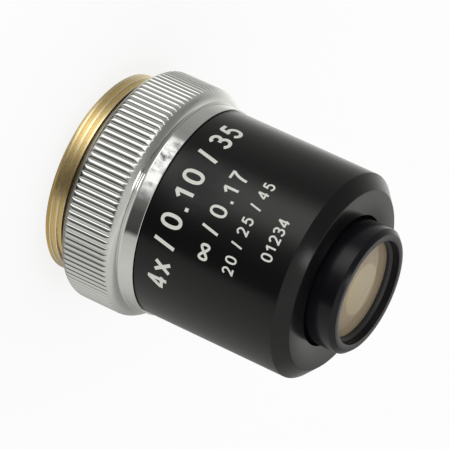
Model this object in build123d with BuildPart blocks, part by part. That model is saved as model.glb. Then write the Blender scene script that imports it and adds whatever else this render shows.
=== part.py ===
# Microscope objective of low power, standing on the rear rim of its mounting thread.
# The optical axis is Z. The rear rim is at z = 0 and the front lens looks up, along +Z.
# Every radius is worked out from the mounting thread, outwards and inwards, one wall or step
# at a time, and every height from the rear rim, so a piece follows what it sits in.
from build123d import *
from math import sqrt
import os

# Fits between turned pieces and between a lens and its cell, as radial clearances
turned_fit = 0.02
lens_fit = 0.02
cement_gap = 0.02

# Mounting thread, drawn as its major radius, with a relief and a plain spigot in front of it
thread_radius = 10.16
thread_length = 1.95
thread_lead = 0.20
thread_relief_depth = 0.56
thread_relief_length = 0.30
mount_shoulder_width = 0.30
mount_spigot_length = 3.05
mount_spigot_wall = 1.30
mount_mouth_chamfer = 0.40

# Grip collar: hub, rear bevel, straight knurl, tapered land ends, rounded shoulder and plain neck
hub_wall = 1.08
hub_length = 0.55
bevel_step = 0.50
bevel_rise = 0.91
bevel_length = 0.94
knurl_length = 3.91
knurl_count = 108
knurl_groove_width = 0.40
knurl_groove_depth = 0.28
land_taper_length = 0.80
groove_runout = 0.03
shoulder_length = 0.44
shoulder_round = 1.25
neck_lip = 0.15
neck_length = 1.62
neck_chamfer = 0.12

# Outer barrel
barrel_seat_width = 0.60
barrel_step = 0.63
barrel_step_gap = 0.05
barrel_spigot_wall = 1.30
barrel_length = 16.60
barrel_chamfer_width = 1.29
barrel_chamfer_length = 1.18
barrel_front_wall = 1.70

# Lens tube inside the barrel, held by its flange, and the shim that sets its height
tube_flange_thickness = 1.00
shim_thickness = 0.20
tube_wall = 1.08
tube_end_gap = 0.30
tube_front_wall = 2.80
tube_front_chamfer = 0.30
tube_shoulder_width = 1.70

# Nose cell and what it holds
nose_shoulder_width = 0.62
nose_hole_clearance = 0.29
nose_projection = 2.99
nose_chamfer = 0.42
nose_wall = 1.10
nose_seat_width = 0.60
nose_spigot_length = 2.60
front_ring_recess = 0.65
front_ring_thickness = 0.54
front_ring_width = 0.31
front_ring_bevel = 0.22
front_lens_edge = 1.20
front_lens_dome = 0.42
nose_air_gap = 0.10
second_lens_edge = 1.60
second_lens_dome = 0.81
second_lens_hollow = 0.96

# Lens cells in the tube
cell_seat_width = 0.50
cell_seat_thickness = 0.70
cell_ring_thickness = 0.80
cell_ring_recess = 0.20
middle_cell_wall = 1.66
middle_crown_edge = 0.80
middle_crown_dome = 0.59
middle_cement_depth = 0.96
middle_flint_centre = 0.80
middle_flint_hollow = 0.42
rear_cell_wall = 1.16
rear_crown_edge = 0.90
rear_crown_dome = 0.61
rear_cement_depth = 0.92
rear_flint_centre = 0.90
rear_flint_hollow = 0.40
stop_thickness = 0.30
stop_rim_width = 2.88
spacer_wall = 0.90
lock_ring_depth = 0.50
lock_ring_thickness = 1.20
lock_ring_width = 1.10
spanner_slot_width = 0.80
spanner_slot_depth = 0.35

# Radii of the mount and the collar
relief_radius = thread_radius - thread_relief_depth
mount_spigot_radius = relief_radius - mount_shoulder_width
mount_bore_radius = mount_spigot_radius - mount_spigot_wall
collar_rear_bore = mount_spigot_radius + turned_fit
hub_radius = collar_rear_bore + hub_wall
bevel_rear_radius = hub_radius + bevel_step
knurl_radius = bevel_rear_radius + bevel_rise
shoulder_radius = knurl_radius - knurl_groove_depth - groove_runout

# Radii of the barrel, the tube and the nose
barrel_spigot_radius = mount_spigot_radius + barrel_seat_width
collar_front_bore = barrel_spigot_radius + turned_fit
barrel_radius = barrel_spigot_radius + barrel_step
barrel_bore_radius = barrel_spigot_radius - barrel_spigot_wall
barrel_face_radius = barrel_radius - barrel_chamfer_width
neck_radius = barrel_radius + neck_lip
tube_radius = barrel_bore_radius - turned_fit
shim_bore_radius = tube_radius + turned_fit
tube_flange_radius = mount_spigot_radius
tube_bore_radius = tube_radius - tube_wall
tube_front_hole = tube_bore_radius - tube_shoulder_width
nose_spigot_radius = tube_front_hole - turned_fit
nose_radius = nose_spigot_radius + nose_shoulder_width
nose_hole_radius = nose_radius + nose_hole_clearance
nose_bore_radius = nose_radius - nose_wall
nose_passage_radius = nose_bore_radius - nose_seat_width
nose_lens_radius = nose_bore_radius - lens_fit
front_ring_radius = nose_bore_radius - turned_fit
front_ring_hole = front_ring_radius - front_ring_width

# Radii of the lens stack
cell_radius = tube_bore_radius - turned_fit
middle_lens_radius = cell_radius - middle_cell_wall - lens_fit
rear_lens_radius = cell_radius - rear_cell_wall - lens_fit
spacer_bore_radius = cell_radius - spacer_wall
lock_ring_hole = cell_radius - lock_ring_width
stop_radius = cell_radius - stop_rim_width
middle_hole_radius = middle_lens_radius - cell_seat_width
rear_hole_radius = rear_lens_radius - cell_seat_width

# Heights of the mount, the collar and the barrel
relief_rear_z = thread_length
collar_rear_z = relief_rear_z + thread_relief_length
mount_front_z = collar_rear_z + mount_spigot_length
bevel_rear_z = collar_rear_z + hub_length
knurl_rear_z = bevel_rear_z + bevel_length
knurl_front_z = knurl_rear_z + knurl_length
shoulder_rear_z = knurl_front_z + land_taper_length
neck_rear_z = shoulder_rear_z + shoulder_length
collar_front_z = neck_rear_z + neck_length
flange_front_z = mount_front_z + tube_flange_thickness
barrel_rear_z = flange_front_z + shim_thickness
barrel_step_z = collar_front_z + barrel_step_gap
barrel_front_z = barrel_step_z + barrel_length
barrel_chamfer_z = barrel_front_z - barrel_chamfer_length
front_wall_rear_z = barrel_front_z - barrel_front_wall

# Heights of the tube, the nose and the two cells
tube_front_z = front_wall_rear_z - tube_end_gap
tube_shoulder_z = tube_front_z - tube_front_wall
nose_rear_z = tube_front_z - nose_spigot_length
nose_front_z = barrel_front_z + nose_projection
front_ring_front_z = nose_front_z - front_ring_recess
front_lens_front_z = front_ring_front_z - front_ring_thickness
front_lens_rear_z = front_lens_front_z - front_lens_edge
lock_ring_rear_z = mount_front_z + lock_ring_depth
rear_cell_rear_z = lock_ring_rear_z + lock_ring_thickness


def cap_arc(rim_radius, rim_z, height):
    """Arc of a lens face in the XZ plane, from its rim to its pole, this much above the rim or below it."""
    curve = (height**2 + rim_radius**2) / (2 * height)
    middle_radius = rim_radius / 2
    middle_rise = sqrt(curve**2 - middle_radius**2) - (abs(curve) - abs(height))
    middle_z = rim_z + (middle_rise if height > 0 else -middle_rise)
    return ThreePointArc((rim_radius, rim_z), (middle_radius, middle_z), (0, rim_z + height))


def plain_ring(name, outer_radius, hole_radius, rear_z, front_z):
    """Flat ring between two heights."""
    with BuildPart() as ring:
        with BuildSketch(Plane.XY.offset(rear_z)):
            Circle(outer_radius)
            Circle(hole_radius, mode=Mode.SUBTRACT)
        extrude(amount=front_z - rear_z)
    ring.part.label = name
    return ring.part


def spanner_ring(name, outer_radius, hole_radius, rear_z, front_z):
    """Threaded retaining ring with two spanner slots in its rear face."""
    ring_width = outer_radius - hole_radius
    with BuildPart() as ring:
        with BuildSketch(Plane.XY.offset(rear_z)):
            Circle(outer_radius)
            Circle(hole_radius, mode=Mode.SUBTRACT)
        extrude(amount=front_z - rear_z)
        with BuildSketch(Plane.XY.offset(rear_z)):
            with PolarLocations(hole_radius + ring_width / 2, 2):
                Rectangle(2 * ring_width, spanner_slot_width)
        extrude(amount=spanner_slot_depth, mode=Mode.SUBTRACT)
    ring.part.label = name
    return ring.part


def lens_cell(name, lens_radius, rear_z, length):
    """Turned cell: a seat at the front and a bore from the rear for the lenses and their ring."""
    bore_radius = lens_radius + lens_fit
    with BuildPart() as cell:
        with BuildSketch(Plane.XY.offset(rear_z)):
            Circle(cell_radius)
            Circle(bore_radius, mode=Mode.SUBTRACT)
        extrude(amount=length - cell_seat_thickness)
        with BuildSketch(Plane.XY.offset(rear_z + length - cell_seat_thickness)):
            Circle(cell_radius)
            Circle(lens_radius - cell_seat_width, mode=Mode.SUBTRACT)
        extrude(amount=cell_seat_thickness)
    cell.part.label = name
    return cell.part


def flint_lens(name, lens_radius, hole_radius, rear_z, edge, hollow, cement_depth):
    """Diverging half of a doublet: hollow behind inside its ring, hollow in front over its whole width."""
    front_rim_z = rear_z + edge
    with BuildPart() as lens:
        with BuildSketch(Plane.XZ):
            with BuildLine():
                Polyline((hole_radius, rear_z), (lens_radius, rear_z), (lens_radius, front_rim_z))
                cap_arc(lens_radius, front_rim_z, -cement_depth)
                Line((0, front_rim_z - cement_depth), (0, rear_z + hollow))
                cap_arc(hole_radius, rear_z, hollow)
            make_face()
        revolve(axis=Axis.Z)
    lens.part.label = name
    return lens.part


def crown_lens(name, lens_radius, seat_radius, rear_rim_z, edge, dome, cement_depth):
    """Converging half of a doublet: full behind against the cement, full in front inside its seat."""
    front_z = rear_rim_z + edge
    with BuildPart() as lens:
        with BuildSketch(Plane.XZ):
            with BuildLine():
                cap_arc(lens_radius, rear_rim_z, -cement_depth)
                Polyline((lens_radius, rear_rim_z), (lens_radius, front_z), (seat_radius, front_z))
                cap_arc(seat_radius, front_z, dome)
                Line((0, front_z + dome), (0, rear_rim_z - cement_depth))
            make_face()
        revolve(axis=Axis.Z)
    lens.part.label = name
    return lens.part


# Doublet thicknesses, which give each cell its length
middle_flint_edge = middle_flint_hollow + middle_flint_centre + middle_cement_depth
rear_flint_edge = rear_flint_hollow + rear_flint_centre + rear_cement_depth
cell_ends = cell_seat_thickness + cell_ring_thickness + cell_ring_recess
middle_cell_length = cell_ends + middle_flint_edge + cement_gap + middle_crown_edge
rear_cell_length = cell_ends + rear_flint_edge + cement_gap + rear_crown_edge
middle_cell_rear_z = tube_shoulder_z - middle_cell_length
stop_rear_z = middle_cell_rear_z - stop_thickness
rear_cell_front_z = rear_cell_rear_z + rear_cell_length

# Brass mount: thread, relief and spigot, with the light bore through it
with BuildPart() as mount_thread:
    with BuildSketch(Plane.XZ):
        with BuildLine():
            Polyline(
                (mount_bore_radius + mount_mouth_chamfer, 0),
                (thread_radius - thread_lead, 0),
                (thread_radius, thread_lead),
                (thread_radius, relief_rear_z),
                (relief_radius, relief_rear_z),
                (relief_radius, collar_rear_z),
                (mount_spigot_radius, collar_rear_z),
                (mount_spigot_radius, mount_front_z),
                (mount_bore_radius, mount_front_z),
                (mount_bore_radius, mount_mouth_chamfer),
                close=True,
            )
        make_face()
    revolve(axis=Axis.Z)
mount_thread.part.label = "mount_thread"

# Chromed collar: the knurled band is bevelled behind, and its grooves run out before the rounded shoulder
with BuildPart() as grip_collar:
    with BuildSketch(Plane.XY.offset(bevel_rear_z)):
        Circle(knurl_radius)
        with PolarLocations(knurl_radius, knurl_count):
            Polygon(
                (-knurl_groove_depth, 0),
                (knurl_groove_depth, -knurl_groove_width),
                (knurl_groove_depth, knurl_groove_width),
                align=None,
                mode=Mode.SUBTRACT,
            )
    extrude(amount=neck_rear_z - bevel_rear_z)
    with BuildSketch(Plane.XZ):
        with BuildLine():
            Polyline(
                (0, neck_rear_z),
                (0, bevel_rear_z),
                (bevel_rear_radius, bevel_rear_z),
                (knurl_radius, knurl_rear_z),
                (knurl_radius, knurl_front_z),
                (shoulder_radius, shoulder_rear_z),
            )
            RadiusArc((shoulder_radius, shoulder_rear_z), (neck_radius, neck_rear_z), -shoulder_round)
            Line((neck_radius, neck_rear_z), (0, neck_rear_z))
        make_face()
    revolve(axis=Axis.Z, mode=Mode.INTERSECT)
    with BuildSketch(Plane.XY.offset(collar_rear_z)):
        Circle(hub_radius)
    extrude(amount=hub_length)
    with BuildSketch(Plane.XZ):
        with BuildLine():
            Polyline(
                (0, neck_rear_z),
                (neck_radius, neck_rear_z),
                (neck_radius, collar_front_z - neck_chamfer),
                (neck_radius - neck_chamfer, collar_front_z),
                (0, collar_front_z),
                close=True,
            )
        make_face()
    revolve(axis=Axis.Z)
    with BuildSketch(Plane.XY.offset(collar_rear_z)):
        Circle(collar_rear_bore)
    extrude(amount=barrel_rear_z - collar_rear_z, mode=Mode.SUBTRACT)
    with BuildSketch(Plane.XY.offset(barrel_rear_z)):
        Circle(collar_front_bore)
    extrude(amount=collar_front_z - barrel_rear_z, mode=Mode.SUBTRACT)
grip_collar.part.label = "grip_collar"

# Black barrel: its spigot sits in the collar and its front wall leaves a hole for the nose
with BuildPart() as outer_barrel:
    with BuildSketch(Plane.XZ):
        with BuildLine():
            Polyline(
                (barrel_bore_radius, barrel_rear_z),
                (barrel_spigot_radius, barrel_rear_z),
                (barrel_spigot_radius, barrel_step_z),
                (barrel_radius, barrel_step_z),
                (barrel_radius, barrel_chamfer_z),
                (barrel_face_radius, barrel_front_z),
                (nose_hole_radius, barrel_front_z),
                (nose_hole_radius, front_wall_rear_z),
                (barrel_bore_radius, front_wall_rear_z),
                close=True,
            )
        make_face()
    revolve(axis=Axis.Z)
outer_barrel.part.label = "outer_barrel"

# Lens tube: flange behind, bore for the cells, and a front wall that the nose cell screws into
with BuildPart() as lens_tube:
    with BuildSketch(Plane.XZ):
        with BuildLine():
            Polyline(
                (tube_bore_radius, mount_front_z),
                (tube_flange_radius, mount_front_z),
                (tube_flange_radius, flange_front_z),
                (tube_radius, flange_front_z),
                (tube_radius, tube_front_z - tube_front_chamfer),
                (tube_radius - tube_front_chamfer, tube_front_z),
                (tube_front_hole, tube_front_z),
                (tube_front_hole, tube_shoulder_z),
                (tube_bore_radius, tube_shoulder_z),
                close=True,
            )
        make_face()
    revolve(axis=Axis.Z)
lens_tube.part.label = "lens_tube"

# Nose cell: spigot in the tube, and a bore from the front for the two front lenses
nose_spacer_length = second_lens_dome + nose_air_gap
nose_spacer_rear_z = front_lens_rear_z - nose_spacer_length
nose_seat_z = nose_spacer_rear_z - second_lens_edge
with BuildPart() as nose_cell:
    with BuildSketch(Plane.XZ):
        with BuildLine():
            Polyline(
                (nose_passage_radius, nose_rear_z),
                (nose_spigot_radius, nose_rear_z),
                (nose_spigot_radius, tube_front_z),
                (nose_radius, tube_front_z),
                (nose_radius, nose_front_z - nose_chamfer),
                (nose_radius - nose_chamfer, nose_front_z),
                (nose_bore_radius, nose_front_z),
                (nose_bore_radius, nose_seat_z),
                (nose_passage_radius, nose_seat_z),
                close=True,
            )
        make_face()
    revolve(axis=Axis.Z)
nose_cell.part.label = "nose_cell"

# Front lens: flat behind, domed in front inside its ring
with BuildPart() as front_lens:
    with BuildSketch(Plane.XZ):
        with BuildLine():
            Polyline(
                (0, front_lens_rear_z),
                (nose_lens_radius, front_lens_rear_z),
                (nose_lens_radius, front_lens_front_z),
                (front_ring_hole, front_lens_front_z),
            )
            cap_arc(front_ring_hole, front_lens_front_z, front_lens_dome)
            Line((0, front_lens_front_z + front_lens_dome), (0, front_lens_rear_z))
        make_face()
    revolve(axis=Axis.Z)
front_lens.part.label = "front_lens"

# Front retaining ring, bevelled towards the lens
with BuildPart() as front_retaining_ring:
    with BuildSketch(Plane.XZ):
        with BuildLine():
            Polyline(
                (front_ring_hole, front_lens_front_z),
                (front_ring_radius, front_lens_front_z),
                (front_ring_radius, front_ring_front_z),
                (front_ring_hole + front_ring_bevel, front_ring_front_z),
                (front_ring_hole, front_ring_front_z - front_ring_bevel),
                close=True,
            )
        make_face()
    revolve(axis=Axis.Z)
front_retaining_ring.part.label = "front_retaining_ring"

# Second lens: a meniscus, hollow behind, seated on the nose cell's inner shoulder
with BuildPart() as second_lens:
    with BuildSketch(Plane.XZ):
        with BuildLine():
            Polyline(
                (nose_passage_radius, nose_seat_z),
                (nose_lens_radius, nose_seat_z),
                (nose_lens_radius, nose_spacer_rear_z),
                (nose_passage_radius, nose_spacer_rear_z),
            )
            cap_arc(nose_passage_radius, nose_spacer_rear_z, second_lens_dome)
            Line((0, nose_spacer_rear_z + second_lens_dome), (0, nose_seat_z + second_lens_hollow))
            cap_arc(nose_passage_radius, nose_seat_z, second_lens_hollow)
        make_face()
    revolve(axis=Axis.Z)
second_lens.part.label = "second_lens"

# Both doublets stand on their retaining rings and press against the seats of their cells
middle_ring_rear_z = middle_cell_rear_z + cell_ring_recess
middle_flint_rear_z = middle_ring_rear_z + cell_ring_thickness
middle_crown_rear_z = middle_flint_rear_z + middle_flint_edge + cement_gap
rear_ring_rear_z = rear_cell_rear_z + cell_ring_recess
rear_flint_rear_z = rear_ring_rear_z + cell_ring_thickness
rear_crown_rear_z = rear_flint_rear_z + rear_flint_edge + cement_gap

pieces = [
    mount_thread.part,
    grip_collar.part,
    outer_barrel.part,
    lens_tube.part,
    nose_cell.part,
    front_lens.part,
    second_lens.part,
    plain_ring("parfocal_shim", tube_flange_radius, shim_bore_radius, flange_front_z, barrel_rear_z),
    plain_ring("nose_spacer", front_ring_radius, nose_passage_radius, nose_spacer_rear_z, front_lens_rear_z),
    front_retaining_ring.part,
    lens_cell("middle_cell", middle_lens_radius, middle_cell_rear_z, middle_cell_length),
    flint_lens(
        "middle_flint_lens",
        middle_lens_radius,
        middle_hole_radius,
        middle_flint_rear_z,
        middle_flint_edge,
        middle_flint_hollow,
        middle_cement_depth,
    ),
    crown_lens(
        "middle_crown_lens",
        middle_lens_radius,
        middle_hole_radius,
        middle_crown_rear_z,
        middle_crown_edge,
        middle_crown_dome,
        middle_cement_depth,
    ),
    spanner_ring(
        "middle_retaining_ring",
        middle_lens_radius,
        middle_hole_radius,
        middle_ring_rear_z,
        middle_flint_rear_z,
    ),
    plain_ring("aperture_stop", cell_radius, stop_radius, stop_rear_z, middle_cell_rear_z),
    plain_ring("tube_spacer", cell_radius, spacer_bore_radius, rear_cell_front_z, stop_rear_z),
    lens_cell("rear_cell", rear_lens_radius, rear_cell_rear_z, rear_cell_length),
    flint_lens(
        "rear_flint_lens",
        rear_lens_radius,
        rear_hole_radius,
        rear_flint_rear_z,
        rear_flint_edge,
        rear_flint_hollow,
        rear_cement_depth,
    ),
    crown_lens(
        "rear_crown_lens",
        rear_lens_radius,
        rear_hole_radius,
        rear_crown_rear_z,
        rear_crown_edge,
        rear_crown_dome,
        rear_cement_depth,
    ),
    spanner_ring(
        "rear_retaining_ring",
        rear_lens_radius,
        rear_hole_radius,
        rear_ring_rear_z,
        rear_flint_rear_z,
    ),
    spanner_ring("stack_lock_ring", cell_radius, lock_ring_hole, lock_ring_rear_z, rear_cell_rear_z),
]

os.makedirs("parts", exist_ok=True)
for piece in pieces:
    export_step(piece, f"parts/{piece.label}.step")
    print(f"{piece.label}: {piece.volume:.2f} mm3")
print(f"overall height {nose_front_z:.2f} mm, widest diameter {2 * knurl_radius:.2f} mm")
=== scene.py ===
# Finish of a low-power microscope objective: brass thread, knurled chrome collar, satin black
# barrel and nose, coated front lens. Lengths in the dictionaries are millimetres.
import math

import bmesh
import bpy
import numpy as np
from mathutils import Matrix, Vector


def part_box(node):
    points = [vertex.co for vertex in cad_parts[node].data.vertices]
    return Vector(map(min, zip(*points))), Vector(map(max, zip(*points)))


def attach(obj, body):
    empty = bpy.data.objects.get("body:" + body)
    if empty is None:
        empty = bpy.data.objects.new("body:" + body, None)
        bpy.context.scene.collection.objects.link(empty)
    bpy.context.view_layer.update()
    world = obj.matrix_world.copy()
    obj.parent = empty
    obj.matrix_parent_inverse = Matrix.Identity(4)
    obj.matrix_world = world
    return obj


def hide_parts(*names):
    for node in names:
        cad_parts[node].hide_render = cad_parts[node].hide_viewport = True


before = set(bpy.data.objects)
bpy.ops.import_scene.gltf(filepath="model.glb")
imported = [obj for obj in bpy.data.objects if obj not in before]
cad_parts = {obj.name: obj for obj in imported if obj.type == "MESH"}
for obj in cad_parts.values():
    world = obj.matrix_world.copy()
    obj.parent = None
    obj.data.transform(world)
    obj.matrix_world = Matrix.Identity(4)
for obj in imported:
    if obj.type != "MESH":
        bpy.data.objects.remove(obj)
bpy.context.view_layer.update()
mm = 0.001
print("frame loaded:", len(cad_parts), "nodes")


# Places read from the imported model, in millimetres

def nodeBox(node):
    # Radius, rear height and front height of a turned node, from its box.
    low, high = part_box(node)
    return high.y / mm, low.z / mm, high.z / mm


threadRadius, mountFrontZ = nodeBox("mount_thread")[::2]
knurlRadius, collarRearZ, collarFrontZ = nodeBox("grip_collar")
barrelRadius, barrelRearZ, barrelFrontZ = nodeBox("outer_barrel")
noseRadius, noseRearZ, noseFrontZ = nodeBox("nose_cell")
ringRadius, ringRearZ = nodeBox("front_retaining_ring")[:2]
lensRadius, lensRearZ, lensPoleZ = nodeBox("front_lens")
spacerRearZ = nodeBox("nose_spacer")[1]
tubeFrontZ = nodeBox("lens_tube")[2]


# Surfaces

def gridMesh(name, points, closedU=False, closedV=False):
    # Mesh of a grid of points, shape (rows, columns, 3) in millimetres. Quad (i, j) joins the
    # points (i, j), (i, j+1), (i+1, j+1), (i+1, j); a closed direction joins its last line to its first.
    rows, columns = points.shape[:2]
    rowIndex = np.arange(rows if closedU else rows - 1)
    columnIndex = np.arange(columns if closedV else columns - 1)
    i, j = np.meshgrid(rowIndex, columnIndex, indexing="ij")
    nextI, nextJ = (i + 1) % rows, (j + 1) % columns
    quads = np.stack([i * columns + j, i * columns + nextJ, nextI * columns + nextJ, nextI * columns + j], -1)
    mesh = bpy.data.meshes.new(name)
    mesh.from_pydata((points.reshape(-1, 3) * mm).tolist(), [], quads.reshape(-1, 4).tolist())
    mesh.update()
    return mesh


def addPiece(name, mesh, material, stands):
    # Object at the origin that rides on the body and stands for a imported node.
    mesh.materials.clear()
    mesh.materials.append(material)
    piece = bpy.data.objects.new(name, mesh)
    bpy.context.scene.collection.objects.link(piece)
    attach(piece, "root")
    if stands:
        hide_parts(stands)
    return piece


def shadeByAngle(mesh, degrees=30):
    # Smooth faces with creases kept where neighbouring faces turn by more than the angle.
    mesh.shade_smooth()
    mesh.set_sharp_from_angle(angle=math.radians(degrees))


def roundCorners(profile, radius, steps=4):
    # Closed profile (n, 2) with each corner replaced by an arc: a quadratic curve from a point this
    # far before the corner to one this far after it, with the corner as its control point.
    before = np.roll(profile, 1, axis=0) - profile
    after = np.roll(profile, -1, axis=0) - profile
    lengthBefore = np.linalg.norm(before, axis=1, keepdims=True)
    lengthAfter = np.linalg.norm(after, axis=1, keepdims=True)
    reach = np.minimum(np.minimum(lengthBefore, lengthAfter) * 0.45, np.reshape(radius, (-1, 1)))
    start = profile + before / lengthBefore * reach
    end = profile + after / lengthAfter * reach
    t = np.linspace(0, 1, steps)[None, :, None]
    curve = (1 - t) ** 2 * start[:, None] + 2 * t * (1 - t) * profile[:, None] + t**2 * end[:, None]
    return curve.reshape(-1, 2)


def turned(profile, columns):
    # Grid of points: point (i, j) is the profile's (radius, height) i at the angle 2 pi j / columns.
    profile = np.asarray(profile, float)
    angle = np.linspace(0, 2 * np.pi, columns, endpoint=False)
    radius, height = profile[:, :1], profile[:, 1:]
    return np.stack([radius * np.cos(angle), radius * np.sin(angle), height + 0 * angle], -1)


def turnedPiece(name, profile, columns=256):
    # Closed profile turned about Z. It runs anticlockwise in the (radius, height) plane.
    mesh = gridMesh(name, turned(profile, columns), closedU=True, closedV=True)
    shadeByAngle(mesh)
    return mesh


def polishedLens(name, profile, columns=192):
    # Profile from the rear pole round to the front pole, turned about Z, with the points at each
    # pole welded into one.
    mesh = gridMesh(name, turned(profile, columns), closedV=True)
    shape = bmesh.new()
    shape.from_mesh(mesh)
    bmesh.ops.remove_doubles(shape, verts=shape.verts, dist=0.0001 * mm)
    shape.to_mesh(mesh)
    shape.free()
    shadeByAngle(mesh)
    return mesh


def sphereCap(radius, rimZ, rise, rows=24):
    # Profile from the rim in to the pole: height = rimZ + sqrt(R^2 - r^2) - (R - rise), where the
    # sphere's radius is R = (radius^2 + rise^2) / (2 rise).
    sphere = (radius**2 + rise**2) / (2 * rise)
    at = np.linspace(radius, 0, rows)
    return np.stack([at, rimZ + np.sqrt(sphere**2 - at**2) - (sphere - rise)], -1)


# Camera

camera = {
    "azimuth": 4.20,          # degrees from -Y towards +X
    "elevation": 23.43,
    "roll": 114.80,
    "distance": 428.8,
    "aim": (-0.15, 0.0, 13.77),
    "lens": 360.8,            # on a 36 mm sensor
}


def addCamera():
    data = bpy.data.cameras.new("camera")
    data.lens = camera["lens"]
    data.sensor_width = 36
    data.clip_start, data.clip_end = 0.01, 20
    eye = bpy.data.objects.new("camera", data)
    bpy.context.scene.collection.objects.link(eye)
    azimuth, elevation = math.radians(camera["azimuth"]), math.radians(camera["elevation"])
    back = Vector((math.sin(azimuth) * math.cos(elevation), -math.cos(azimuth) * math.cos(elevation),
                   math.sin(elevation)))
    turn = (-back).to_track_quat("-Z", "Y").to_matrix().to_4x4()
    place = Matrix.Translation((Vector(camera["aim"]) + back * camera["distance"]) * mm)
    eye.matrix_world = place @ turn @ Matrix.Rotation(math.radians(camera["roll"]), 4, "Z")
    bpy.context.scene.camera = eye


addCamera()


# Materials

def newMaterial(name):
    # Empty node material with a Principled shader wired to its output.
    material = bpy.data.materials.new(name)
    material.use_nodes = True
    tree = material.node_tree
    tree.nodes.clear()
    output = tree.nodes.new("ShaderNodeOutputMaterial")
    shader = tree.nodes.new("ShaderNodeBsdfPrincipled")
    tree.links.new(shader.outputs["BSDF"], output.inputs["Surface"])
    return material, tree, shader


def node(tree, kind, inputs=None, **settings):
    # Node with its settings and its input values or links.
    made = tree.nodes.new(kind)
    for key, value in settings.items():
        setattr(made, key, value)
    for key, value in (inputs or {}).items():
        if isinstance(value, bpy.types.NodeSocket):
            tree.links.new(value, made.inputs[key])
        else:
            made.inputs[key].default_value = value
    return made


def objectPlace(tree):
    # Object coordinates in millimetres.
    place = node(tree, "ShaderNodeTexCoord").outputs["Object"]
    return node(tree, "ShaderNodeVectorMath", {0: place, "Scale": 1 / mm}, operation="SCALE").outputs[0]


def arithmetic(tree, operation, *values, clamp=False):
    # Math node over sockets and numbers.
    made = node(tree, "ShaderNodeMath", dict(enumerate(values)), operation=operation)
    made.use_clamp = clamp
    return made.outputs[0]


def polarPlace(tree, place):
    # (angle in degrees, radius, height) of a place in millimetres.
    parts = node(tree, "ShaderNodeSeparateXYZ", {0: place}).outputs
    angle = arithmetic(tree, "DEGREES", arithmetic(tree, "ARCTAN2", parts[1], parts[0]))
    squares = arithmetic(tree, "ADD", arithmetic(tree, "MULTIPLY", parts[0], parts[0]),
                         arithmetic(tree, "MULTIPLY", parts[1], parts[1]))
    return angle, arithmetic(tree, "SQRT", squares), parts[2]


def noise(tree, place, scale, detail=3, roughness=0.5):
    # Noise value around one half.
    return node(tree, "ShaderNodeTexNoise", {"Vector": place, "Scale": scale, "Detail": detail,
                                             "Roughness": roughness}).outputs[0]


def spread(tree, value, low, high, fromLow=0.3, fromHigh=0.7):
    # Value mapped from one range to another, held at its ends.
    return node(tree, "ShaderNodeMapRange", {"Value": value, "From Min": fromLow, "From Max": fromHigh,
                                             "To Min": low, "To Max": high}).outputs[0]


def colourMix(tree, factor, first, second):
    # Colour between two colours.
    made = node(tree, "ShaderNodeMix", data_type="RGBA")
    for key, value in ((0, factor), (6, first), (7, second)):
        if isinstance(value, bpy.types.NodeSocket):
            tree.links.new(value, made.inputs[key])
        else:
            made.inputs[key].default_value = value
    return made.outputs[2]


def turningLines(tree, place, perMillimetre=12.0, perTurn=4.2):
    # Fine rings left by the lathe: noise that changes fast along the height and slowly around it.
    angle, radius, height = polarPlace(tree, place)
    along = arithmetic(tree, "MULTIPLY", arithmetic(tree, "ADD", height, radius), perMillimetre)
    around = arithmetic(tree, "MULTIPLY", angle, perTurn / 360)
    drawn = node(tree, "ShaderNodeCombineXYZ", {0: around, 1: along}).outputs[0]
    return noise(tree, drawn, 1.0, detail=2)


def bump(tree, shader, height, strength, distance):
    # Bump from a height between 0 and 1 on the shader's normal; distance in millimetres.
    made = node(tree, "ShaderNodeBump", {"Height": height, "Strength": strength, "Distance": distance * mm})
    tree.links.new(made.outputs[0], shader.inputs["Normal"])


def setSockets(shader, values):
    # Plain values on the shader's own sockets.
    for key, value in values.items():
        shader.inputs[key].default_value = value


def brassFinish(name, colour, dark, roughness):
    # Turned brass with faint darker stains under a thin lacquer.
    material, tree, shader = newMaterial(name)
    place = objectPlace(tree)
    lines = turningLines(tree, place)
    stain = noise(tree, place, 0.35, detail=4)
    colourNow = colourMix(tree, spread(tree, stain, 0.0, 0.45), colour, dark)
    tree.links.new(colourNow, shader.inputs["Base Color"])
    tree.links.new(spread(tree, lines, roughness - 0.05, roughness + 0.08), shader.inputs["Roughness"])
    setSockets(shader, {"Metallic": 1.0, "Coat Weight": 0.25, "Coat Roughness": 0.15})
    bump(tree, shader, lines, 0.18, 0.02)
    return material


def chromeFinish(name, recessFrontZ):
    # Bright plating with a slight haze; in the recess behind the ribs it is rougher and its colour is
    # darkened to a brownish painted shade.
    material, tree, shader = newMaterial(name)
    place = objectPlace(tree)
    haze = noise(tree, place, 1.4, detail=4)
    height = polarPlace(tree, place)[2]
    shadedDullRecess = spread(tree, height, 1.0, 0.0, recessFrontZ - 0.04, recessFrontZ + 0.04)
    smooth = spread(tree, haze, 0.04, 0.10)
    dulled = arithmetic(tree, "ADD", smooth, arithmetic(tree, "MULTIPLY", shadedDullRecess, 0.40))
    tree.links.new(dulled, shader.inputs["Roughness"])
    plated = colourMix(tree, haze, (0.73, 0.73, 0.71, 1), (0.80, 0.80, 0.78, 1))
    # Painted shade: below the bevel the plated colour turns dark brown, in place of the shadow between brass
    # and collar.
    tree.links.new(colourMix(tree, shadedDullRecess, plated, (0.22, 0.19, 0.14, 1)), shader.inputs["Base Color"])
    setSockets(shader, {"Metallic": 1.0})
    bump(tree, shader, noise(tree, place, 0.9, detail=2), 0.04, 0.05)
    return material


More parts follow.
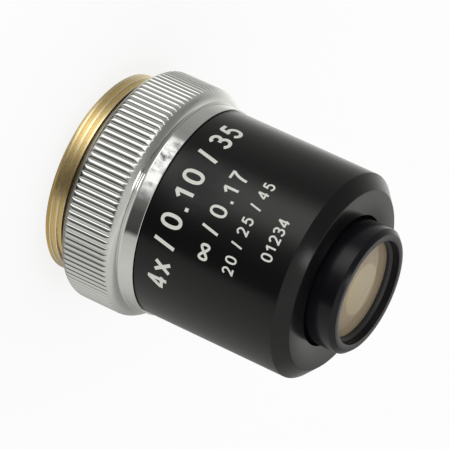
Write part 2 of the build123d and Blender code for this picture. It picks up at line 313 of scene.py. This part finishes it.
def blackFinish(name, colour, roughness, grain, index=1.45):
    # Black coat over a turned surface: speckled in colour, gloss and height.
    material, tree, shader = newMaterial(name)
    place = objectPlace(tree)
    lines = turningLines(tree, place, perMillimetre=7.0)
    speckle = noise(tree, place, 9.0, detail=2)
    tree.links.new(spread(tree, speckle, roughness - 0.04, roughness + 0.05), shader.inputs["Roughness"])
    pale = tuple(channel * 1.5 for channel in colour[:3]) + (1,)
    tree.links.new(colourMix(tree, speckle, colour, pale), shader.inputs["Base Color"])
    setSockets(shader, {"IOR": index})
    together = arithmetic(tree, "ADD", speckle, arithmetic(tree, "MULTIPLY", lines, 0.5))
    bump(tree, shader, together, grain, 0.02)
    return material


def inkFinish(name, fresh, faded):
    # Matt ink, a little uneven.
    material, tree, shader = newMaterial(name)
    worn = noise(tree, objectPlace(tree), 6.0, detail=3)
    tree.links.new(colourMix(tree, worn, fresh, faded), shader.inputs["Base Color"])
    setSockets(shader, {"Roughness": 0.55})
    bump(tree, shader, worn, 0.2, 0.02)
    return material


def glassFinish(name, tint, coat, alpha):
    # Lens glass seen from outside: a tinted see-through body under a coloured coating.
    material, tree, shader = newMaterial(name)
    place = objectPlace(tree)
    cloud = noise(tree, place, 0.25, detail=2)
    tree.links.new(colourMix(tree, cloud, tint, tuple(c * 0.92 for c in tint[:3]) + (1,)),
                   shader.inputs["Base Color"])
    tree.links.new(spread(tree, cloud, 0.01, 0.03), shader.inputs["Roughness"])
    setSockets(shader, {"IOR": 1.52, "Specular Tint": coat, "Specular IOR Level": 0.5, "Alpha": alpha,
                        "Transmission Weight": 0.0})
    return material


def coatedFinish(name, middle, edge, paintedMiddleRadius, alpha):
    # Coated front lens with a tan edge, partly see-through. Its pale middle with a soft boundary is painted
    # light: it stands in for the lit second lens seen through the glass.
    material, tree, shader = newMaterial(name)
    place = objectPlace(tree)
    radius = polarPlace(tree, place)[1]
    outside = spread(tree, radius, 0.0, 1.0, paintedMiddleRadius - 0.12, paintedMiddleRadius + 0.12)
    # Painted light: the pale middle stands in for the lit second lens seen through the glass.
    tree.links.new(colourMix(tree, outside, middle, edge), shader.inputs["Base Color"])
    tree.links.new(spread(tree, noise(tree, place, 0.25, detail=2), 0.02, 0.05), shader.inputs["Roughness"])
    setSockets(shader, {"IOR": 1.45, "Alpha": alpha})
    return material


# Finishes of the pieces

brass = brassFinish("thread_brass", (0.96, 0.83, 0.54, 1), (0.80, 0.66, 0.40, 1), 0.28)
plainBrass = brassFinish("tube_brass", (0.72, 0.60, 0.36, 1), (0.56, 0.45, 0.25, 1), 0.32)
barrelBlack = blackFinish("barrel_lacquer", (0.0035, 0.0035, 0.0035, 1), 0.21, 0.10, index=1.41)
noseBlack = blackFinish("nose_anodise", (0.0034, 0.0032, 0.0050, 1), 0.20, 0.05, index=1.36)
ringBlack = blackFinish("ring_anodise", (0.020, 0.020, 0.021, 1), 0.42, 0.20)
cellBlack = blackFinish("cell_anodise", (0.012, 0.012, 0.012, 1), 0.55, 0.30)
ink = inkFinish("engraving_ink", (0.84, 0.84, 0.78, 1), (0.74, 0.74, 0.68, 1))
innerCoat = glassFinish("inner_coating", (0.62, 0.52, 0.34, 1), (1.0, 0.86, 0.62, 1), 0.90)
rearCoat = glassFinish("rear_coating", (0.55, 0.50, 0.42, 1), (0.9, 0.8, 0.9, 1), 0.35)
clearGlass = glassFinish("lens_glass", (0.80, 0.82, 0.80, 1), (1, 1, 1, 1), 0.25)
print("materials made")


# Brass mount with its helical thread

mount = {
    "pitch": 0.7056,
    "threadDepth": 0.433,
    "rootShare": 0.12,        # flat at the root, as a share of half the pitch
    "flankShare": 0.68,       # flank beside it
    "fadeIn": 0.12,           # the thread starts at the rim over this length
    "threadFrontZ": 1.95,
    "runOut": 0.10,           # and falls into the relief over this one
    "reliefRadius": 9.60,
    "spigotRadius": 9.30,
    "boreRadius": 8.00,
    "boreChamfer": 0.40,
    "rimChamfer": 0.22,
    "softening": (0.03, 0.012),   # width and height of the turn from the rear face into the chamfer
    "edge": 0.02,
    "columns": 360,
    "rows": 200,
}


def mountMesh():
    # Outer skin as a grid: at height z and angle a the radius is the major radius less a rounded
    # saw of the phase z / pitch - a / 2 pi, faded in at the rim and run out into the relief groove.
    # Behind it turned rings close the grid: the bore and the rear rim before it, the spigot after it.
    angle = np.linspace(0, 2 * np.pi, mount["columns"], endpoint=False)
    bore, inner = mount["boreRadius"], mount["boreChamfer"]
    chamfer, edge = mount["rimChamfer"], mount["edge"]
    z = np.linspace(chamfer, mount["threadFrontZ"] + mount["runOut"], mount["rows"])[:, None]
    phase = z / mount["pitch"] - angle[None] / (2 * np.pi)
    saw = np.abs((phase % 1) - 0.5) * 2                       # 0 at the root, 1 at the crest
    flank = np.clip((saw - mount["rootShare"]) / mount["flankShare"], 0, 1)
    fade = np.clip((z - chamfer) / mount["fadeIn"], 0, 1)
    radius = threadRadius - mount["threadDepth"] * (1 - flank) * fade
    relief = np.clip((z - mount["threadFrontZ"]) / mount["runOut"], 0, 1)
    radius = np.minimum(radius, threadRadius + (mount["reliefRadius"] - threadRadius) * relief)
    skin = np.stack([radius * np.cos(angle), radius * np.sin(angle), z + 0 * angle], -1)
    softWidth, softRise = mount["softening"]
    before = [(bore, mountFrontZ), (bore, inner), (bore + inner, 0), (bore + inner + softWidth, 0),
              (threadRadius - chamfer - softWidth, 0), (threadRadius - chamfer, softRise),
              (threadRadius - edge, chamfer - edge)]
    after = [(mount["reliefRadius"], collarRearZ - edge), (mount["reliefRadius"], collarRearZ),
             (mount["spigotRadius"], collarRearZ), (mount["spigotRadius"], mountFrontZ)]
    points = np.concatenate([turned(before, mount["columns"]), skin, turned(after, mount["columns"])])
    mesh = gridMesh("brass_mount", points, closedU=True, closedV=True)
    shadeByAngle(mesh, 40)
    return mesh


addPiece("brass_mount", mountMesh(), brass, "mount_thread")
print("mount made")


# Chromed collar

collar = {
    "teeth": 108,
    "grooveDepth": 0.15,
    "crestSteps": (0.06, 0.14, 0.22, 0.30, 0.37),   # points across half a crest, as shares of the pitch
    "crestShare": 0.41,       # half the rounded crest, as a share of the pitch
    "crestSlope": 33.0,       # degrees at the crest's edge
    "hubRadius": 10.38,
    "hubEdge": 0.05,
    "hubFillet": 0.03,
    "bevelRearZ": 2.80,
    "bevelRearRadius": 10.88,
    "knurlRearZ": 3.74,
    "landFrontZ": 7.65,
    "shoulderRound": 1.25,
    "neckRadius": 10.68,
    "neckFillet": 0.25,
    "neckChamfer": 0.04,
    "mountBore": 9.32,
    "barrelBore": 9.92,
    "boreStepZ": 6.50,
}

chrome = chromeFinish("bright_chrome", collar["bevelRearZ"])


def collarMesh():
    # Turned profile with a groove pattern: the radius is the smaller of the turned profile and the
    # ribbed radius. A rib's crest is an arc across the tooth, and a short V joins it to the next.
    teeth = collar["teeth"]
    toothAngle = 2 * np.pi / teeth
    pitch = knurlRadius * toothAngle
    edge = collar["crestShare"]
    half = np.array(collar["crestSteps"] + (edge,))
    share = np.concatenate([-half[::-1], half, [0.5]])
    angle = (np.arange(teeth)[:, None] * toothAngle + share * toothAngle).ravel()
    across = np.abs(np.tile(share, teeth)) * pitch
    crest = edge * pitch / math.sin(math.radians(collar["crestSlope"]))
    crestDepth = crest - np.sqrt(crest**2 - np.minimum(across, edge * pitch) ** 2)
    notch = np.clip((across - edge * pitch) / (pitch / 2 - edge * pitch), 0, 1)
    depth = crestDepth + notch * (collar["grooveDepth"] - crestDepth.max())

    # rear round: a quarter of an ellipse from the hub's face to the ribs
    turn = np.linspace(np.pi / 2, 0, 18)
    rise = collar["knurlRearZ"] - collar["bevelRearZ"]
    rear = np.stack([collar["bevelRearRadius"] + (knurlRadius - collar["bevelRearRadius"]) * np.cos(turn),
                     collar["knurlRearZ"] - rise * np.sin(turn)], -1)
    # front round and the fillet that runs it into the neck
    bulge, fillet, neck = collar["shoulderRound"], collar["neckFillet"], collar["neckRadius"]
    centreRadius = knurlRadius - bulge
    meet = math.acos((neck + fillet - centreRadius) / (bulge + fillet))
    filletZ = collar["landFrontZ"] + (bulge + fillet) * math.sin(meet)
    turn = np.linspace(0, meet, 22)
    front = np.stack([centreRadius + bulge * np.cos(turn), collar["landFrontZ"] + bulge * np.sin(turn)], -1)
    turn = np.linspace(meet + np.pi, np.pi, 8)[1:]
    hollow = np.stack([neck + fillet + fillet * np.cos(turn), filletZ + fillet * np.sin(turn)], -1)

    hub, hubEdge, corner = collar["hubRadius"], collar["hubEdge"], collar["hubFillet"]
    chamfer, stepZ = collar["neckChamfer"], collar["boreStepZ"]
    lands = [(knurlRadius, z) for z in np.linspace(collar["knurlRearZ"], collar["landFrontZ"], 6)[1:-1]]
    body = np.concatenate([
        [(collar["mountBore"], collarRearZ), (hub - hubEdge, collarRearZ), (hub, collarRearZ + hubEdge),
         (hub, collar["bevelRearZ"] - corner), (hub + corner, collar["bevelRearZ"])],
        rear, lands, front, hollow,
        [(neck, collarFrontZ - chamfer), (neck - chamfer, collarFrontZ),
         (collar["barrelBore"], collarFrontZ), (collar["barrelBore"], stepZ), (collar["mountBore"], stepZ)],
    ])
    radius = body[:, :1] + 0 * angle
    grooved = body[:, :1] > knurlRadius - 1.1 * collar["grooveDepth"]
    radius = np.where(grooved, np.minimum(radius, knurlRadius - depth[None]), radius)
    points = np.stack([radius * np.cos(angle), radius * np.sin(angle), body[:, 1:] + 0 * angle], -1)
    mesh = gridMesh("chrome_collar", points, closedU=True, closedV=True)
    shadeByAngle(mesh, 28)
    return mesh


addPiece("chrome_collar", collarMesh(), chrome, "grip_collar")
print("collar made")


# Black barrel

barrel = {
    "spigotRadius": 9.90,
    "stepZ": 10.56,
    "chamferWidth": 1.29,
    "chamferLength": 1.18,
    "holeRadius": 6.69,
    "boreRadius": 8.60,
    "frontWall": 1.70,
    "edgeRound": 0.06,
}


def barrelMesh():
    front = barrelFrontZ
    corners = np.array([
        (barrel["boreRadius"], barrelRearZ),
        (barrel["spigotRadius"], barrelRearZ),
        (barrel["spigotRadius"], barrel["stepZ"]),
        (barrelRadius, barrel["stepZ"]),
        (barrelRadius, front - barrel["chamferLength"]),
        (barrelRadius - barrel["chamferWidth"], front),
        (barrel["holeRadius"], front),
        (barrel["holeRadius"], front - barrel["frontWall"]),
        (barrel["boreRadius"], front - barrel["frontWall"]),
    ])
    return turnedPiece("black_barrel", roundCorners(corners, barrel["edgeRound"]), 320)


addPiece("black_barrel", barrelMesh(), barrelBlack, "outer_barrel")


# Nose cell

nose = {
    "spigotRadius": 5.78,
    "chamfer": 0.42,
    "boreRadius": 5.30,
    "passageRadius": 4.70,
    "seatZ": 25.25,
    "edgeRound": 0.05,
}


def noseMesh():
    corners = np.array([
        (nose["passageRadius"], noseRearZ),
        (nose["spigotRadius"], noseRearZ),
        (nose["spigotRadius"], tubeFrontZ),
        (noseRadius, tubeFrontZ),
        (noseRadius, noseFrontZ - nose["chamfer"]),
        (noseRadius - nose["chamfer"], noseFrontZ),
        (nose["boreRadius"], noseFrontZ),
        (nose["boreRadius"], nose["seatZ"]),
        (nose["passageRadius"], nose["seatZ"]),
    ])
    return turnedPiece("black_nose", roundCorners(corners, nose["edgeRound"]), 256)


addPiece("black_nose", noseMesh(), noseBlack, "nose_cell")
print("barrel and nose made")


# Front lens, and the second lens seen through it

lenses = {
    "ringWidth": 0.31,        # of the ring in front of the front lens
    "paintedMiddleRadius": 2.65,     # pale middle painted on the front lens, standing in for the lit second lens seen through it
    "hollow": 0.96,           # depth of the hollow behind the second lens
}

frontCoat = coatedFinish("front_coating", (0.66, 0.55, 0.36, 1), (0.50, 0.40, 0.27, 1),
                         lenses["paintedMiddleRadius"], 0.62)


def frontLensMesh():
    # Flat behind, a cylinder at its edge and a cap inside the ring in front.
    hole = ringRadius - lenses["ringWidth"]
    dome = sphereCap(hole, ringRearZ, lensPoleZ - ringRearZ)
    edge = [(0, lensRearZ), (lensRadius, lensRearZ), (lensRadius, ringRearZ)]
    return polishedLens("coated_lens", np.concatenate([edge, dome]))


def innerLensMesh():
    # Hollow behind, a cylinder at its edge and a cap inside the spacer that stands on it.
    outer, rearZ, poleZ = nodeBox("second_lens")
    hollow = sphereCap(nose["passageRadius"], rearZ, lenses["hollow"])[::-1]
    edge = [(outer, rearZ), (outer, spacerRearZ)]
    dome = sphereCap(nose["passageRadius"], spacerRearZ, poleZ - spacerRearZ)
    return polishedLens("inner_lens", np.concatenate([hollow, edge, dome]))


addPiece("coated_lens", frontLensMesh(), frontCoat, "front_lens")
addPiece("inner_lens", innerLensMesh(), innerCoat, "second_lens")
print("lenses made")


# Figures on the barrel, drawn as strokes

lettering = {
    "middleAngle": -90.0,     # degrees about +Z, the middle of every row
    "height": 0.02,           # above the barrel
    "depth": 0.02,            # below it
    "step": 0.12,             # longest piece of a stroke
    "lastWidth": 0.52,        # of a row's last figure, as a share of its height
    "rows": [                # text, rear height, front height, arc length, stroke
        ("4x / 0.10 / 35", 12.11, 14.42, 18.98, 0.36),
        ("∞ / 0.17", 16.31, 18.13, 9.26, 0.26),
        ("20 / 25 / 45", 19.69, 20.91, 9.72, 0.18),
        ("01234", 22.96, 24.19, 4.27, 0.18),
    ],
}


def arcStroke(middle, radii, first, last, power=2.0):
    # Points (x, y) = middle + radii times (cos a, sin a), squared up when the power is over 2.
    angle = np.radians(np.linspace(first, last, 40))
    cosine, sine = np.cos(angle), np.sin(angle)
    unit = np.stack([np.sign(cosine) * np.abs(cosine) ** (2 / power),
                     np.sign(sine) * np.abs(sine) ** (2 / power)], -1)
    return np.array(middle) + np.array(radii) * unit


def bentStroke(start, control, end):
    # Quadratic curve from start to end, pulled towards the control point.
    t = np.linspace(0, 1, 24)[:, None]
    return (1 - t) ** 2 * np.array(start) + 2 * t * (1 - t) * np.array(control) + t**2 * np.array(end)


def loopStroke(middle, radii):
    # Figure of eight on its side: x = cos t, y = sin 2t, scaled and moved.
    t = np.linspace(0, 2 * np.pi, 72)
    return np.array(middle) + np.array(radii) * np.stack([np.cos(t), np.sin(2 * t)], -1)


# Middle lines of each sign in a box one unit high: advance, strokes
signs = {
    " ": (0.46, []),
    "0": (0.925, [arcStroke((0.27, 0.5), (0.27, 0.5), 0, 360, 2.35)]),
    "1": (0.925, [[(0.36, 0), (0.36, 1)], [(0.06, 0.70), (0.34, 0.95)]]),
    "2": (0.925, [arcStroke((0.265, 0.71), (0.255, 0.29), 165, -25),
                  bentStroke((0.496, 0.587), (0.40, 0.38), (0.06, 0.04)), [(-0.05, 0), (0.54, 0)]]),
    "3": (0.925, [arcStroke((0.25, 0.765), (0.24, 0.235), 155, -90),
                  arcStroke((0.25, 0.27), (0.275, 0.27), 90, -155), [(0.17, 0.533), (0.27, 0.533)]]),
    "4": (0.925, [[(0.42, 0), (0.42, 1.06)], [(0.39, 0.99), (0.01, 0.33)], [(-0.06, 0.28), (0.58, 0.28)]]),
    "5": (0.925, [[(0.10, 1), (0.51, 1)], [(0.13, 1.02), (0.06, 0.50)],
                  arcStroke((0.25, 0.325), (0.28, 0.325), 138, -155)]),
    "7": (0.925, [[(-0.02, 1), (0.56, 1)], bentStroke((0.52, 0.98), (0.22, 0.60), (0.18, -0.09))]),
    "x": (0.83, [[(-0.03, -0.09), (0.47, 0.72)], [(0.47, -0.09), (-0.03, 0.72)]]),
    "/": (0.46, [[(-0.02, -0.09), (0.24, 1.09)]]),
    ".": (0.46, [[(0.10, -0.095), (0.10, 0.095)]]),
    "∞": (1.18, [loopStroke((0.46, 0.36), (0.46, 0.25))]),
}


def resampled(points, step):
    # Same line with no piece longer than the step.
    points = np.asarray(points, float)
    lengths = np.linalg.norm(np.diff(points, axis=0), axis=1)
    along = np.concatenate([[0], np.cumsum(lengths)])
    at = np.union1d(along, np.linspace(0, along[-1], int(along[-1] / step) + 2))
    return np.stack([np.interp(at, along, points[:, k]) for k in (0, 1)], -1)


def strokeBox(points, width):
    # Box section carried along a line: at each point the four corners lie half a width to either
    # side, along the line's normal, at the two levels 0 and 1.
    closed = np.linalg.norm(points[0] - points[-1]) < 1e-6
    if closed:
        points = points[:-1]
        tangent = np.roll(points, -1, axis=0) - np.roll(points, 1, axis=0)
    else:
        tangent = np.gradient(points, axis=0)
    tangent /= np.linalg.norm(tangent, axis=1, keepdims=True)
    left = np.stack([-tangent[:, 1], tangent[:, 0]], -1) * width / 2
    low, high = np.zeros((len(points), 1)), np.ones((len(points), 1))
    sides = [(points + left, low), (points + left, high), (points - left, high), (points - left, low)]
    return np.stack([np.concatenate(side, 1) for side in sides], 1), closed


def boxFaces(rows, closed, offset):
    # Quads of a carried box section of four corners, with its two ends closed if it is open.
    i, j = np.meshgrid(np.arange(rows if closed else rows - 1), np.arange(4), indexing="ij")
    nextI, nextJ = (i + 1) % rows, (j + 1) % 4
    quads = np.stack([i * 4 + j, i * 4 + nextJ, nextI * 4 + nextJ, nextI * 4 + j], -1).reshape(-1, 4)
    if not closed:
        last = 4 * (rows - 1)
        quads = np.concatenate([quads, [[0, 3, 2, 1], [last, last + 1, last + 2, last + 3]]])
    return quads + offset


def figureRow(name, text, rearZ, frontZ, arcLength, stroke):
    # Row of signs wrapped on the barrel: x becomes the angle x / radius, y runs towards the thread,
    # and the level becomes the height above the surface.
    unit = frontZ - rearZ - stroke
    natural = np.cumsum([0] + [signs[sign][0] * unit for sign in text])
    inkWidth = natural[-2] + lettering["lastWidth"] * unit + stroke
    tracking = (arcLength - inkWidth) / (len(text) - 1)
    sections, faces, offset = [], [], 0
    for index, sign in enumerate(text):
        pen = natural[index] + index * tracking + stroke / 2
        for line in signs[sign][1]:
            points = resampled(np.asarray(line, float) * unit, lettering["step"]) + (pen, stroke / 2)
            section, closed = strokeBox(points, stroke)
            sections.append(section.reshape(-1, 3))
            faces.append(boxFaces(len(section), closed, offset))
            offset += section.shape[0] * 4
    flat = np.concatenate(sections)
    angle = math.radians(lettering["middleAngle"]) + (arcLength / 2 - flat[:, 0]) / barrelRadius
    radius = barrelRadius - lettering["depth"] + flat[:, 2] * (lettering["depth"] + lettering["height"])
    wrapped = np.stack([radius * np.cos(angle), radius * np.sin(angle), frontZ - flat[:, 1]], -1)
    mesh = bpy.data.meshes.new(name)
    mesh.from_pydata((wrapped * mm).tolist(), [], np.concatenate(faces).tolist())
    mesh.update()
    return mesh


for index, row in enumerate(lettering["rows"], 1):
    addPiece(f"figures_{index}", figureRow(f"figures_{index}", *row), ink, None)
print("figures made")


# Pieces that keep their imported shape

keptFinishes = {
    "lens_tube": plainBrass,
    "parfocal_shim": plainBrass,
    "nose_spacer": cellBlack,
    "front_retaining_ring": ringBlack,
    "middle_cell": cellBlack,
    "middle_flint_lens": clearGlass,
    "middle_crown_lens": clearGlass,
    "middle_retaining_ring": cellBlack,
    "aperture_stop": cellBlack,
    "tube_spacer": cellBlack,
    "rear_cell": cellBlack,
    "rear_flint_lens": rearCoat,
    "rear_crown_lens": clearGlass,
    "rear_retaining_ring": cellBlack,
    "stack_lock_ring": cellBlack,
}


def dressKept():
    for name, material in keptFinishes.items():
        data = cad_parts[name].data
        data.materials.clear()
        data.materials.append(material)


dressKept()
print("kept pieces dressed")


# Floor, surround and lamps

studio = {
    "floorSize": 6000,
    "floorZ": -0.02,
    "floorColour": (0.80, 0.80, 0.79, 1),
    "floorSeen": (0.22, 0.22, 0.22, 1),   # its colour where it is seen, which carries the shadow
    "floorWhite": 0.80,       # light that the floor adds of its own there
    "skyLight": 0.95,         # even light of the tent on matt surfaces
    "mirrorTint": (1.0, 0.995, 0.965, 1),
    "riseFrom": 0.10,         # sines of the elevations between which low turns into high
    "riseTo": 0.45,
    "shadeFrom": -0.95,       # and of those over which the ground's shade fades
    "shadeTo": -0.50,
    "lowSurround": [         # azimuth in degrees from +X, brightness seen below the horizon
        (0, 0.66), (14, 0.64), (34, 0.58), (54, 0.44), (74, 0.35), (90, 0.46), (98, 1.05), (114, 1.05),
        (134, 0.62), (154, 0.42), (174, 0.38), (200, 0.30), (208, 0.34), (216, 0.80), (224, 1.50),
        (232, 1.90), (250, 1.70), (260, 0.95), (268, 0.42), (276, 0.24), (288, 0.15), (298, 0.08),
        (320, 0.06), (325, 0.52), (336, 0.60),
    ],
    "groundShade": 0.30,      # share of it left where a surface looks straight down
    "highSurround": [         # the same above the horizon
        (0, 0.66), (31, 0.59), (52, 0.36), (71, 0.30), (90, 0.38), (96, 0.90), (117, 0.70), (136, 0.45),
        (157, 0.26), (204, 0.22), (232, 0.26), (262, 0.40), (280, 0.60), (316, 0.60), (345, 0.74),
    ],
}

sheet = {                     # angles in degrees about +Z, lengths in millimetres
    "fromAngle": -141.0,
    "toAngle": -76.0,
    "innerRadius": 28.5,
    "outerRadius": 41.0,
    "creaseAngle": 9.0,
    "creaseWidth": 1.3,
    "slant": 0.35,
    "dark": 0.10,
    "bright": 1.45,
    "darkNoise": 0.43,        # noise up to which a crease is dark
    "brightNoise": 0.50,      # and from which the paper is bright
    "fadeIn": 6.0,
    "fadeOut": 20.0,
    "height": 0.01,
}

lamps = {
    "overhead": {"place": (-15, -90, 420), "size": (70, 80), "brightness": 4.0, "mirrored": True},
    "front": {"place": (-60, -420, 260), "size": (300, 200), "brightness": 1.0, "mirrored": False},
}
lampAim = (0, 0, 15)


def azimuthShare(tree, place):
    # Azimuth of a place as a share of a whole turn.
    parts = node(tree, "ShaderNodeSeparateXYZ", {0: place}).outputs
    turn = arithmetic(tree, "DIVIDE", arithmetic(tree, "ARCTAN2", parts[1], parts[0]), 2 * math.pi)
    return arithmetic(tree, "FRACT", arithmetic(tree, "ADD", turn, 1.0)), parts[2]


def surroundRamp(tree, share, stops):
    # Brightness around the object from its list of stops, closed where a turn ends.
    ramp = node(tree, "ShaderNodeValToRGB", {"Fac": share})
    ramp.color_ramp.interpolation = "LINEAR"
    elements = ramp.color_ramp.elements
    brightest = 2.0                           # a ramp holds colours up to 1
    for azimuth, value in stops[1:]:
        elements.new(azimuth / 360).color = (value / brightest,) * 3 + (1,)
    for element in (elements[0], elements[-1]):
        element.color = (stops[0][1] / brightest,) * 3 + (1,)
    return arithmetic(tree, "MULTIPLY", ramp.outputs[0], brightest)


def seenRay(tree, *kinds):
    # 1 for the kinds of ray named, such as Is Camera Ray.
    path = node(tree, "ShaderNodeLightPath").outputs
    value = path[kinds[0]]
    for kind in kinds[1:]:
        value = arithmetic(tree, "MAXIMUM", value, path[kind])
    return value


def mixShaders(tree, factor, first, second):
    # Mix Shader between two shaders.
    made = node(tree, "ShaderNodeMixShader", {0: factor})
    tree.links.new(first, made.inputs[1])
    tree.links.new(second, made.inputs[2])
    return made.outputs[0]


def stagePiece(name, mesh, material):
    mesh.materials.append(material)
    piece = bpy.data.objects.new(name, mesh)
    bpy.context.scene.collection.objects.link(piece)
    return piece


def addFloor():
    # Plain pale floor that shows white and keeps the object's shadow.
    ends = np.array([-0.5, 0.5]) * studio["floorSize"]
    x, y = np.meshgrid(ends, ends)
    corners = np.stack([x, y, np.full_like(x, studio["floorZ"])], -1)
    material = bpy.data.materials.new("pale_floor")
    material.use_nodes = True
    tree = material.node_tree
    tree.nodes.clear()
    output = node(tree, "ShaderNodeOutputMaterial")
    bounce = node(tree, "ShaderNodeBsdfDiffuse", {"Color": studio["floorColour"]}).outputs[0]
    thin = node(tree, "ShaderNodeBsdfDiffuse", {"Color": studio["floorSeen"]}).outputs[0]
    glow = node(tree, "ShaderNodeEmission", {"Strength": studio["floorWhite"]}).outputs[0]
    both = node(tree, "ShaderNodeAddShader")
    tree.links.new(thin, both.inputs[0])
    tree.links.new(glow, both.inputs[1])
    seen = seenRay(tree, "Is Camera Ray", "Is Glossy Ray", "Is Transmission Ray")
    tree.links.new(mixShaders(tree, seen, bounce, both.outputs[0]), output.inputs["Surface"])
    floor = stagePiece("floor", gridMesh("floor", corners), material)
    floor.visible_glossy = False              # reflections see the surround instead


def addGlowingCard():
    # Glowing card in the shape of a crinkled white sheet on the table beside the object, seen only by shiny
    # surfaces. Its glow is painted light of a lit sheet, and its dark creases are painted shade. Its
    # brightness is noise drawn out around the object, cut off at both ends of its sector.
    angle = np.radians(np.linspace(sheet["fromAngle"], sheet["toAngle"], 40))
    radius = np.array([sheet["innerRadius"], sheet["outerRadius"]])[:, None]
    height = sheet["height"] + 0 * radius * angle
    points = np.stack([radius * np.cos(angle), radius * np.sin(angle), height], -1)
    material = bpy.data.materials.new("glowing_crinkled_card")
    material.use_nodes = True
    tree = material.node_tree
    tree.nodes.clear()
    output = node(tree, "ShaderNodeOutputMaterial")
    angle, radius = polarPlace(tree, objectPlace(tree))[:2]
    around = arithmetic(tree, "DIVIDE", angle, sheet["creaseAngle"])
    out = arithmetic(tree, "DIVIDE", radius, sheet["creaseWidth"])
    slanted = arithmetic(tree, "ADD", around, arithmetic(tree, "MULTIPLY", out, sheet["slant"]))
    drawn = node(tree, "ShaderNodeCombineXYZ", {0: slanted, 1: out}).outputs[0]
    creases = noise(tree, drawn, 1.0, detail=3, roughness=0.6)
    value = spread(tree, creases, sheet["dark"], sheet["bright"], sheet["darkNoise"], sheet["brightNoise"])
    fadeIn = spread(tree, angle, 0.0, 1.0, sheet["fromAngle"], sheet["fromAngle"] + sheet["fadeIn"])
    fadeOut = spread(tree, angle, 1.0, 0.0, sheet["toAngle"] - sheet["fadeOut"], sheet["toAngle"])
    # Painted light: the card glows with the brightness of lit paper, dimmer in its creases as painted shade.
    glow = node(tree, "ShaderNodeEmission", {"Strength": value}).outputs[0]
    clear = node(tree, "ShaderNodeBsdfTransparent").outputs[0]
    shown = mixShaders(tree, arithmetic(tree, "MULTIPLY", fadeIn, fadeOut), clear, glow)
    tree.links.new(shown, output.inputs["Surface"])
    piece = stagePiece("glowing_crinkled_card", gridMesh("glowing_crinkled_card", points), material)
    piece.visible_camera = False
    piece.visible_diffuse = False
    piece.visible_shadow = False
    piece.visible_transmission = False


def addWorld():
    # Even light for matt surfaces, the surround for shiny ones and white for the camera.
    world = bpy.data.worlds.new("studio")
    bpy.context.scene.world = world
    world.use_nodes = True
    tree = world.node_tree
    tree.nodes.clear()
    output = node(tree, "ShaderNodeOutputWorld")
    place = node(tree, "ShaderNodeTexCoord").outputs["Generated"]
    share, height = azimuthShare(tree, place)
    low = surroundRamp(tree, share, studio["lowSurround"])
    high = surroundRamp(tree, share, studio["highSurround"])
    rise = spread(tree, height, 0.0, 1.0, studio["riseFrom"], studio["riseTo"])
    blend = node(tree, "ShaderNodeMix", {0: rise, 2: low, 3: high}).outputs[0]
    shade = spread(tree, height, studio["groundShade"], 1.0, studio["shadeFrom"], studio["shadeTo"])
    mirrored = {"Color": studio["mirrorTint"], "Strength": arithmetic(tree, "MULTIPLY", blend, shade)}
    tent = node(tree, "ShaderNodeBackground", {"Strength": studio["skyLight"]}).outputs[0]
    mirror = node(tree, "ShaderNodeBackground", mirrored).outputs[0]
    white = node(tree, "ShaderNodeBackground", {"Strength": 1.0}).outputs[0]
    shiny = mixShaders(tree, seenRay(tree, "Is Glossy Ray"), tent, mirror)
    seen = seenRay(tree, "Is Camera Ray", "Is Transmission Ray")
    tree.links.new(mixShaders(tree, seen, shiny, white), output.inputs["Surface"])


def addLamp(name, place, size, brightness, mirrored):
    # Rectangular lamp of a given surface brightness, aimed at the object; one that isn't mirrored
    # shows in no reflection.
    data = bpy.data.lights.new(name, "AREA")
    data.shape = "RECTANGLE"
    data.size, data.size_y = size[0] * mm, size[1] * mm
    data.energy = brightness * math.pi * data.size * data.size_y
    lamp = bpy.data.objects.new(name, data)
    bpy.context.scene.collection.objects.link(lamp)
    place, aim = Vector(place) * mm, Vector(lampAim) * mm
    turn = (aim - place).to_track_quat("-Z", "Y").to_matrix().to_4x4()
    lamp.matrix_world = Matrix.Translation(place) @ turn
    lamp.visible_glossy = mirrored


addFloor()
addGlowingCard()
addWorld()
for name, lamp in lamps.items():
    addLamp(name, **lamp)
bpy.context.scene.view_settings.view_transform = "Standard"
print("studio made")
